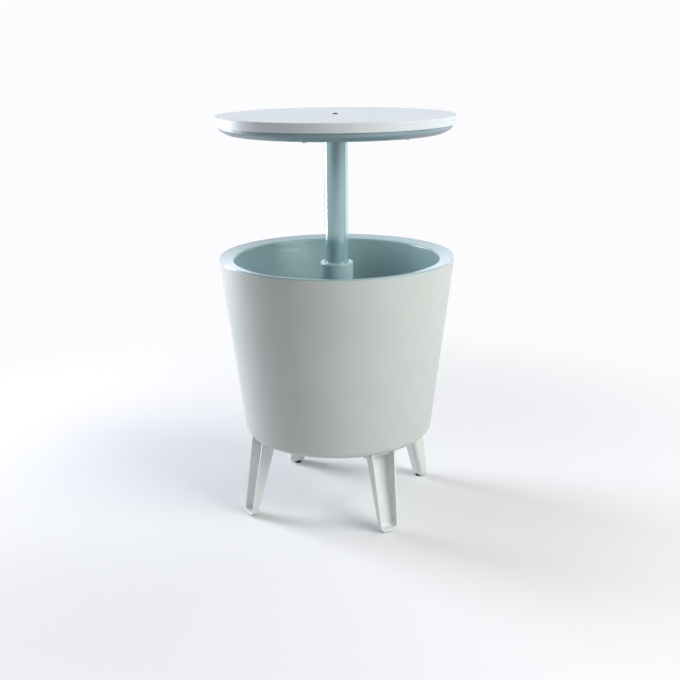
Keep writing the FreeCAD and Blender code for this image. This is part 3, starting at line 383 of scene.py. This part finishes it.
@dataclass(frozen=True)
class Softbox:
    """A rectangular lamp that faces a point on the object's axis.

    Args:
        name: the lamp's name.
        azimuth: degrees round the axis from the front, positive towards the left.
        elevation: degrees above the level.
        distance: from the point that it faces.
        width, height: its size.
        power: in watts.
        colour: its light's sRGB hex colour.
        aim: how high the point is above the floor.
    """

    name: str
    azimuth: float
    elevation: float
    distance: float
    width: float
    height: float
    power: float
    colour: str
    aim: float = 0.45

    def place(self) -> None:
        """Add the lamp."""
        data = bpy.data.lights.new(self.name, "AREA")
        data.shape = "RECTANGLE"
        data.size, data.size_y = self.width, self.height
        data.energy = self.power
        data.color = linear(self.colour)[:3]
        lamp = add_object(self.name, data)
        turn, rise = math.radians(self.azimuth), math.radians(self.elevation)
        back = Vector((-math.sin(turn) * math.cos(rise), -math.cos(turn) * math.cos(rise),
                       math.sin(rise)))
        lamp.location = Vector((0, 0, self.aim)) + back * self.distance
        lamp.rotation_euler = (-back).to_track_quat("-Z", "Y").to_euler()


# For each side of the room, the number of its axis and the sign that points to it.
WAYS = {"front": (1, -1.0), "back": (1, 1.0), "left": (0, -1.0), "right": (0, 1.0),
        "above": (2, 1.0)}


@dataclass(frozen=True)
class Surround:
    """Soft light from the room's sides, as a colour and a strength for each.

    A direction gets the square of its share along each axis from the side it points to, so
    five equal sides are an even sky.

    Args:
        front, back, left, right, above: each side's sRGB hex colour and its strength.
    """

    front: tuple[str, float]
    back: tuple[str, float]
    left: tuple[str, float]
    right: tuple[str, float]
    above: tuple[str, float]

    def light(self, tree: bpy.types.NodeTree,
              along: list[bpy.types.NodeSocket]) -> bpy.types.NodeSocket:
        """Add the nodes that work out the light of a direction.

        Args:
            tree: the world's node tree.
            along: the direction's shares along X, Y and Z.

        Returns:
            The colour's socket.
        """
        total = None
        for way, (axis, sign) in WAYS.items():
            colour, strength = getattr(self, way)
            share = add_node(tree, "ShaderNodeMath", {0: along[axis], 1: sign},
                             operation="MULTIPLY").outputs[0]
            share = add_node(tree, "ShaderNodeMath", {0: share, 1: 0.0},
                             operation="MAXIMUM").outputs[0]
            share = add_node(tree, "ShaderNodeMath", {0: share, 1: share},
                             operation="MULTIPLY").outputs[0]
            part = add_node(tree, "ShaderNodeVectorMath", {
                0: Vector(linear(colour)[:3]) * strength, "Scale": share,
            }, operation="SCALE").outputs[0]
            total = part if total is None else add_node(
                tree, "ShaderNodeVectorMath", {0: total, 1: part}, operation="ADD").outputs[0]
        return total


@dataclass(frozen=True)
class Studio:
    """The plain pale floor, the soft light all round and the backdrop.

    Args:
        lit, mirrored: the light on matt surfaces, and what glossy ones mirror.
        floor_colour, back_colour: sRGB hex colours of the floor and the backdrop.
        floor_radius, floor_turns: the floor's size, and its number of corners.
        fade_from, fade_to: from the object's axis, where the floor starts to turn into the
            backdrop's colour, and where it is that colour.
        dusk_from, dusk_to: in front of the axis, where the floor's mirrored glow starts to
            dim, and where it stops.
        dusk_left: how much of the glow is left there.
    """

    lit: Surround
    mirrored: Surround
    floor_colour: str = "EAEAEC"
    back_colour: str = "FCFCFE"
    floor_radius: float = 9.0
    floor_turns: int = 96
    fade_from: float = 0.4
    fade_to: float = 1.5
    dusk_from: float = 3.5
    dusk_to: float = 8.5
    dusk_left: float = 0.03

    def world(self) -> None:
        """Light matt surfaces and mirrors by direction, behind a pale backdrop."""
        world = bpy.data.worlds.new("studio")
        bpy.context.scene.world = world
        world.use_nodes = True
        tree = world.node_tree
        tree.nodes.clear()
        place = add_node(tree, "ShaderNodeTexCoord").outputs["Generated"]
        along = list(add_node(tree, "ShaderNodeSeparateXYZ", {0: place}).outputs)
        path = add_node(tree, "ShaderNodeLightPath")
        lit = add_node(tree, "ShaderNodeBackground", {"Color": self.lit.light(tree, along)})
        mirrored = add_node(tree, "ShaderNodeBackground", {
            "Color": self.mirrored.light(tree, along),
        })
        around = add_node(tree, "ShaderNodeMixShader", {
            0: path.outputs["Is Glossy Ray"], 1: lit.outputs[0], 2: mirrored.outputs[0],
        })
        seen = add_node(tree, "ShaderNodeMath", {
            0: path.outputs["Is Camera Ray"], 1: path.outputs["Is Transmission Ray"],
        }, operation="MAXIMUM")
        back = add_node(tree, "ShaderNodeBackground", {"Color": linear(self.back_colour)})
        both = add_node(tree, "ShaderNodeMixShader", {
            0: seen.outputs[0], 1: around.outputs[0], 2: back.outputs[0],
        })
        add_node(tree, "ShaderNodeOutputWorld", {"Surface": both.outputs[0]})

    def floor_material(self) -> bpy.types.Material:
        """Build matt paper that fades into the backdrop's colour away from the object.

        Mirrored, its glow dims in front of the object, where the studio's light ends.

        Returns:
            The material, which still takes shadows near the object.
        """
        made = empty_material("matt_paper_floor")
        tree = made.node_tree
        place = add_node(tree, "ShaderNodeTexCoord").outputs["Object"]
        far = add_node(tree, "ShaderNodeVectorMath", {0: place}, operation="LENGTH")
        fade = add_node(tree, "ShaderNodeMapRange", {
            "Value": far.outputs["Value"], "From Min": self.fade_from,
            "From Max": self.fade_to,
        }, interpolation_type="SMOOTHSTEP")
        path = add_node(tree, "ShaderNodeLightPath")
        seen = add_node(tree, "ShaderNodeMath", {
            0: path.outputs["Is Camera Ray"], 1: path.outputs["Is Glossy Ray"],
        }, operation="MAXIMUM")
        share = add_node(tree, "ShaderNodeMath", {
            0: seen.outputs[0], 1: fade.outputs["Result"],
        }, operation="MULTIPLY")
        paper = add_node(tree, "ShaderNodeBsdfDiffuse", {"Color": linear(self.floor_colour)})
        along = add_node(tree, "ShaderNodeSeparateXYZ", {0: place})
        dusk = add_node(tree, "ShaderNodeMapRange", {
            "Value": along.outputs["Y"], "From Min": -self.dusk_from,
            "From Max": -self.dusk_to, "To Min": 1.0, "To Max": self.dusk_left,
        })
        bright = add_node(tree, "ShaderNodeMath", {
            0: path.outputs["Is Camera Ray"], 1: dusk.outputs["Result"],
        }, operation="MAXIMUM")
        glow = add_node(tree, "ShaderNodeEmission", {
            "Color": linear(self.back_colour), "Strength": bright.outputs[0],
        })
        both = add_node(tree, "ShaderNodeMixShader", {
            0: share.outputs[0], 1: paper.outputs[0], 2: glow.outputs[0],
        })
        add_node(tree, "ShaderNodeOutputMaterial", {"Surface": both.outputs[0]})
        return made

    def floor(self) -> None:
        """Add the round floor: one face, whose corners are the circle's cosine and sine."""
        turns = round_steps(self.floor_turns)
        rim = np.stack([np.cos(turns), np.sin(turns), np.zeros_like(turns)], 1)
        data = bpy.data.meshes.new("floor")
        data.from_pydata((rim * self.floor_radius).tolist(), [],
                         [list(range(self.floor_turns))])
        data.materials.append(self.floor_material())
        floor = add_object("floor", data)


# The real mould grain is about 0.1 mm wide, too fine to show in the render, so every
# plastic's grain is drawn as coarse as it needs to show.

# Light-grey polypropylene with a grained face: a soft, even satin that fades round the tub.
SHELL_PLASTIC = MouldedPlastic(
    "moulded_polypropylene_grey_shell", "BBC1BD", roughness=0.42, grain_mm=1.1,
    grain_depth_mm=0.03, sink_depth_mm=0.1)
# A cooler grey of the same plastic: a calm, flat satin that pales towards the far edge.
TOP_PLASTIC = replace(SHELL_PLASTIC, name="moulded_polypropylene_grey_top", colour="C9CFD2")
# The same plastic, paler than the shell's colour as painted light that the lamps don't bring to
# the legs: the channels look almost white where light falls into them.
LEG_PLASTIC_PAINTED_LIGHT = replace(SHELL_PLASTIC, name="moulded_polypropylene_grey_legs_painted_light", colour="DADEDC")
# Blue-grey polypropylene from a polished mould: a wet gloss, with level streaks where the
# deep walls sank as they cooled.
WELL_PLASTIC = MouldedPlastic(
    "moulded_polypropylene_blue_well", "98B3B7", roughness=0.16, grain_mm=1.4,
    grain_depth_mm=0.004, sink_depth_mm=0.6)
# The same pigment from a duller mould. Its colour is darker than the well's as painted shade
# from the disc above it: a deeper tone with a dim band along the bowl.
PAN_PLASTIC_PAINTED_SHADE = replace(
    WELL_PLASTIC, name="moulded_polypropylene_blue_pan_painted_shade", colour="7C9299", roughness=0.40,
    sink_depth_mm=0.25)
# White polypropylene from a polished mould: one small bright ring on the dull top.
TRIM_PLASTIC = MouldedPlastic(
    "moulded_polypropylene_white_trim", "F2F4F6", roughness=0.25, grain_mm=0.8,
    grain_depth_mm=0.002, edge_mm=0.3)
# Moulded bearing nylon: waxy and half matt, softer to the eye than the glossy well beside it.
NYLON = MouldedPlastic(
    "moulded_nylon_blue_grey", "A3B6BA", roughness=0.4, grain_mm=0.8, grain_depth_mm=0.01,
    edge_mm=0.3)
# Moulded black rubber: dull all over, so that it reads as a dark gap with a faint edge.
RUBBER = MouldedPlastic(
    "moulded_rubber_black", "1E1F20", roughness=0.75, grain_mm=0.6, grain_depth_mm=0.05,
    edge_mm=0.4)
# Drawn and anodised aluminium, dyed under a clear oxide coat: narrow upright glints over a
# cool blue-grey. The drawing marks are under 0.1 mm wide on a real tube, and drawn at 1.5 mm
# so that they show.
POLE_FINISH = Metal(
    "anodised_aluminium_blue_grey", "A3BFC3", roughness=0.14, metal=0.5, mark_mm=1.5,
    spread=0.02)
# Zinc-plated steel: a cold, slightly patchy grey with blurred glints.
ZINC = Metal("zinc_plated_steel", "B9BABC", roughness=0.4)
# Black oxide on steel: nearly black, with one small oily glint on the dome.
BLACK_STEEL = Metal("black_oxide_steel", "34363A", roughness=0.38)

LIT = Surround(
    front=("F4F8FF", 0.02),
    back=("F4F8FF", 0.02),
    left=("F4F8FF", 0.02),
    right=("F4F8FF", 0.02),
    above=("F8FAFF", 0.49),
)
MIRRORED = Surround(
    front=("FFFFFF", 0.05),
    back=("F0F4FF", 1.90),
    left=("F4F8FF", 1.35),
    right=("FFFFFF", 0.30),
    above=("FFFFFF", 0.60),
)
LAMPS = (
    Softbox("softbox_right", azimuth=-56.0, elevation=27.0, distance=2.6, width=1.8,
            height=1.8, power=65.0, colour="FFFFFB"),
    Softbox("softbox_left", azimuth=118.0, elevation=8.0, distance=2.4, width=1.1,
            height=2.2, power=88.0, colour="F5F8FF", aim=0.75),
    Softbox("softbox_back", azimuth=-125.0, elevation=6.0, distance=2.4, width=1.2,
            height=2.0, power=9.0, colour="F5F8FF", aim=0.75),
)


class Paintbox:
    """Makes each finish's material once and gives it to pieces."""

    def __init__(self) -> None:
        """Start with no materials made."""
        self.made: dict[str, bpy.types.Material] = {}

    def give(self, piece: bpy.types.Object, finish: Finish) -> None:
        """Make a finish the only material of a piece.

        Args:
            piece: the piece, whose mesh takes the material.
            finish: the finish.
        """
        if finish.name not in self.made:
            self.made[finish.name] = finish.material()
        piece.data.materials.clear()
        piece.data.materials.append(self.made[finish.name])

    def dress(self, finish: Finish, *names: str) -> None:
        """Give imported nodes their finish.

        Args:
            finish: the finish.
            *names: the nodes' names.
        """
        for name in names:
            self.give(NODES[name], finish)
            log.info("%s is dressed in %s", name, finish.name)


def turned_mesh(name: str, grid: np.ndarray, closed: bool) -> bpy.types.Mesh:
    """Skin grids of points that go round an outline and about an axis.

    Each face's corners are a point, the next one about the axis, and the same two one step
    further along the outline.

    Args:
        name: the mesh's name.
        grid: points in metres, shaped copies x outline x turns x 3.
        closed: whether the outline's end joins its start; else it ends on the axis.

    Returns:
        A smooth mesh with sharp edges kept and its normals outwards.
    """
    copies, outline, turns, _ = grid.shape
    last = outline if closed else outline - 1
    copy, row, turn = np.meshgrid(
        np.arange(copies), np.arange(last), np.arange(turns), indexing="ij")
    above, beside = (row + 1) % outline, (turn + 1) % turns
    quads = np.stack([
        (copy * outline + a) * turns + b
        for a, b in ((row, turn), (row, beside), (above, beside), (above, turn))
    ], axis=-1).reshape(-1, 4)
    mesh = bpy.data.meshes.new(name)
    mesh.from_pydata(grid.reshape(-1, 3).tolist(), [], quads.tolist())
    work = bmesh.new()
    work.from_mesh(mesh)
    bmesh.ops.remove_doubles(work, verts=work.verts, dist=WELD_MM * MM)
    bmesh.ops.recalc_face_normals(work, faces=work.faces)
    work.to_mesh(mesh)
    work.free()
    mesh.shade_smooth()
    mesh.set_sharp_from_angle(angle=math.radians(SHARP_DEGREES))
    return mesh


def stand_for(node: str, body: str, mesh: bpy.types.Mesh) -> bpy.types.Object:
    """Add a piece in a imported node's place.

    Args:
        node: the node that it replaces.
        body: the body that it rides on.
        mesh: its mesh, already in place.

    Returns:
        The new piece.
    """
    piece = add_object(f"{node}_detailed", mesh)
    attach(piece, body)
    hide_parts(node)
    log.info("%s stands for %s, with %d faces", piece.name, node, len(mesh.polygons))
    return piece


def evenly_round(count: int, reach: float, first_turn: float) -> list[Spot]:
    """Spots for screws that stand evenly round the axis.

    Args:
        count: how many there are.
        reach: how far from the axis they stand, in millimetres.
        first_turn: where the first one stands, in degrees.

    Returns:
        The spots, with no sideways offset.
    """
    return [(reach, 0.0, first_turn + 360.0 / count * number) for number in range(count)]


@dataclass
class ScrewSet:
    """Pan-head screws with a cross recess and a V thread, heads down on a level face.

    Args:
        node, body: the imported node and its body.
        shank, head, length: radii and the length under the head, in millimetres.
        spots: where each screw stands.
        head_height: of the head's middle, in millimetres.
        crown_drop: the share of that height that the head loses towards its rim.
        cross_depth, cross_arm, cross_wall: depth of the cross recess, width of its arms and
            width of its sloping walls, in millimetres.
        cross_reach: how far the arms reach, as a share of the head's radius.
        pitch: from one thread to the next, in millimetres.
        thread: the thread's depth, as a share of the shank's radius.
        tip: the share of the length that runs to a point.
        crown_rows, pitch_rows, least_rows: rows of points on the head and on each thread,
            and the fewest on a shank.
        turns: points about the screw's axis.
    """

    node: str
    body: str
    shank: float
    head: float
    length: float
    spots: list[Spot]
    head_height: float = 2.6
    crown_drop: float = 0.5
    cross_depth: float = 1.3
    cross_arm: float = 1.1
    cross_wall: float = 0.35
    cross_reach: float = 0.56
    pitch: float = 1.4
    thread: float = 0.22
    tip: float = 0.2
    crown_rows: int = 22
    pitch_rows: int = 4
    least_rows: int = 8
    turns: int = 32

    def centres(self, seat: float) -> np.ndarray:
        """Turn each spot into a place.

        Args:
            seat: height of the level face, in millimetres.

        Returns:
            The screws' places on the seat, in millimetres, one in each row.
        """
        reach, offset, turn = np.array(self.spots).T
        turn = np.radians(turn)
        return np.stack([
            reach * np.cos(turn) - offset * np.sin(turn),
            reach * np.sin(turn) + offset * np.cos(turn),
            np.full_like(turn, seat),
        ], axis=1)

    def outline(self) -> tuple[np.ndarray, np.ndarray]:
        """Work out the outline from the head's middle, over its rim, to the point.

        The head's crown falls with the fourth power of the distance from its middle. The
        thread's radius rises and falls in a zigzag along the shank, and the tip runs
        straight to a point.

        Returns:
            The outline's radius and its height above the seat, in millimetres.
        """
        crown = self.head * np.linspace(0, 1, self.crown_rows)
        crown_up = -self.head_height * (1 - self.crown_drop * (crown / self.head) ** 4)
        rows = max(self.least_rows, int(self.length / self.pitch * self.pitch_rows))
        run = np.linspace(0, self.length, rows)
        zigzag = np.abs(run / self.pitch % 1 * 2 - 1)
        taper = np.clip((self.length - run) / (self.tip * self.length), 0, 1)
        shank = (self.shank - self.thread * self.shank * zigzag) * taper
        return (np.concatenate([crown, [self.head], shank]),
                np.concatenate([crown_up, [0.0], run]))

    def grid(self, seat: float) -> np.ndarray:
        """Carry the outline about each screw's axis and cut the cross into the head.

        The cross is cut where the smaller of the two distances from its arms is under half
        an arm, with a slope at its walls.

        Args:
            seat: height of the level face, in millimetres.

        Returns:
            Points in metres, shaped screws x outline x turns x 3.
        """
        radius, up = self.outline()
        turn = round_steps(self.turns)
        x = radius[:, None] * np.cos(turn)
        y = radius[:, None] * np.sin(turn)
        nearer = np.minimum(abs(x), abs(y))
        arms = np.clip((self.cross_arm / 2 - nearer) / self.cross_wall + 0.5, 0, 1)
        ends = np.clip(
            (self.cross_reach * self.head - np.hypot(x, y)) / self.cross_wall, 0, 1)
        outer = (np.arange(len(radius)) < self.crown_rows)[:, None]
        z = up[:, None] + outer * self.cross_depth * arms * ends
        one = np.stack([x, y, z], axis=-1)
        return (one[None] + self.centres(seat)[:, None, None]) * MM

    def build(self, paint: Paintbox) -> None:
        """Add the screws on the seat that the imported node's heads lie on.

        Args:
            paint: the finishes.
        """
        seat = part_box(self.node)[0][2] / MM + self.head_height
        mesh = turned_mesh(f"{self.node}_detailed", self.grid(seat), closed=False)
        paint.give(stand_for(self.node, self.body, mesh), ZINC)


@dataclass
class RoundedRing:
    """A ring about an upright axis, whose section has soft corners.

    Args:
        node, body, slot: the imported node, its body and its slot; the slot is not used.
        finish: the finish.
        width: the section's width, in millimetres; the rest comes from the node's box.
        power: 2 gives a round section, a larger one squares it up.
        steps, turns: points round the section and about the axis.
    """

    node: str
    body: str
    slot: Slot
    finish: Finish
    width: float
    power: float
    steps: int = 36
    turns: int = 128

    def grid(self) -> np.ndarray:
        """Carry the section round the middle of the node's box.

        The section is a superellipse: a circle's cosine and sine, each raised to 2 over the
        power and given back its sign.

        Returns:
            Points in metres, shaped 1 x steps x turns x 3.
        """
        low, high = (np.array(corner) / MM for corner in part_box(self.node))
        centre = (low + high) / 2
        middle = (high[0] - low[0]) / 2 - self.width / 2
        step = round_steps(self.steps)
        across, up = (
            np.sign(wave) * np.abs(wave) ** (2 / self.power)
            for wave in (np.cos(step), np.sin(step)))
        radius = (middle + self.width / 2 * across)[:, None]
        turn = round_steps(self.turns)
        height = (high[2] - low[2]) / 2 * up[:, None] * np.ones_like(turn)
        ring = np.stack([radius * np.cos(turn), radius * np.sin(turn), height], axis=-1)
        return ((ring + centre) * MM)[None]

    def build(self, paint: Paintbox) -> None:
        """Add the ring.

        Args:
            paint: the finishes.
        """
        mesh = turned_mesh(f"{self.node}_detailed", self.grid(), closed=True)
        paint.give(stand_for(self.node, self.body, mesh), self.finish)


@dataclass
class TableTop:
    """The lifting top: disc, bowl under it, trim ring and the screws that hold them."""

    centre_ring: RoundedRing = field(default_factory=lambda: RoundedRing(
        "centre_ring", "table", Slot.LIGHT_GREY, TRIM_PLASTIC, width=3.5, power=5.0))
    pan_screws: ScrewSet = field(default_factory=lambda: ScrewSet(
        "pan_screws", "table", shank=1.6, head=4.5, length=14.0,
        spots=evenly_round(6, reach=202.0, first_turn=13.0)))
    hub_screws: ScrewSet = field(default_factory=lambda: ScrewSet(
        "hub_screws", "table", shank=2.0, head=3.6, length=6.0,
        spots=evenly_round(4, reach=36.0, first_turn=45.0)))

    def build(self, paint: Paintbox) -> None:
        """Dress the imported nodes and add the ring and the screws.

        Args:
            paint: the finishes.
        """
        paint.dress(TOP_PLASTIC, "table_disc")
        paint.dress(PAN_PLASTIC_PAINTED_SHADE, "table_pan")
        paint.dress(BLACK_STEEL, "table_screw")
        paint.dress(ZINC, "table_washer")
        self.centre_ring.build(paint)
        self.pan_screws.build(paint)
        self.hub_screws.build(paint)


@dataclass
class Pole:
    """The anodised pole with its hub, foot, bush and sleeve."""

    sleeve_screws: ScrewSet = field(default_factory=lambda: ScrewSet(
        "sleeve_screws", "bucket", shank=2.0, head=3.6, length=8.0,
        spots=evenly_round(4, reach=40.0, first_turn=28.0)))

    def build(self, paint: Paintbox) -> None:
        """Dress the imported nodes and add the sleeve's screws.

        Args:
            paint: the finishes.
        """
        paint.dress(POLE_FINISH, "pole_tube")
        paint.dress(NYLON, "pole_hub", "pole_foot", "guide_bush")
        paint.dress(WELL_PLASTIC, "pole_sleeve")
        paint.dress(ZINC, "hub_rivets", "foot_rivets")
        self.sleeve_screws.build(paint)


@dataclass
class Bucket:
    """The double-walled bucket on its four legs.

    Args:
        leg_turn: where the first leg stands, in degrees from the right.
        inner_reach, inner_offset: how far from the bucket's axis and how far to each side
            a leg's two inner screws stand, in millimetres.
        outer_reach: how far from the axis its outer screw stands, in millimetres.
    """

    leg_turn: float = 28.0
    inner_reach: float = 147.8
    inner_offset: float = 15.0
    outer_reach: float = 174.5

    def leg_screws(self) -> ScrewSet:
        """Work out the three screws in each leg's flange.

        Returns:
            All the legs' screws.
        """
        spots = [
            (reach, offset, self.leg_turn + 360.0 / len(Leg) * number)
            for number in range(len(Leg))
            for reach, offset in ((self.inner_reach, -self.inner_offset),
                                  (self.inner_reach, self.inner_offset),
                                  (self.outer_reach, 0.0))
        ]
        return ScrewSet("leg_screws", "bucket", shank=2.5, head=5.0, length=16.0, spots=spots)

    def build(self, paint: Paintbox) -> None:
        """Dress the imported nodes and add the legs' screws.

        Args:
            paint: the finishes.
        """
        paint.dress(SHELL_PLASTIC, "outer_shell")
        paint.dress(WELL_PLASTIC, "inner_liner")
        for leg in Leg:
            paint.dress(LEG_PLASTIC_PAINTED_LIGHT, f"leg_{leg.value}")
            paint.dress(RUBBER, f"foot_pad_{leg.value}")
        self.leg_screws().build(paint)


@dataclass
class Drain:
    """The spout through the floor with its gasket, nut and stopper."""

    plug_seal: RoundedRing = field(default_factory=lambda: RoundedRing(
        "plug_seal", "drain_plug", Slot.BLACK_RUBBER, RUBBER, width=2.6, power=2.0))

    def build(self, paint: Paintbox) -> None:
        """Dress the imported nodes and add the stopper's round seal.

        Args:
            paint: the finishes.
        """
        paint.dress(NYLON, "drain_spout", "drain_nut")
        paint.dress(RUBBER, "drain_gasket", "drain_plug")
        self.plug_seal.build(paint)


def main() -> None:
    """Build the stage and the four sub-assemblies."""
    bpy.context.scene.view_settings.view_transform = "Standard"
    Camera().place()
    studio = Studio(LIT, MIRRORED)
    studio.world()
    studio.floor()
    for lamp in LAMPS:
        lamp.place()
    paint = Paintbox()
    for assembly in (TableTop(), Pole(), Bucket(), Drain()):
        assembly.build(paint)


if __name__ == "__main__":
    main()
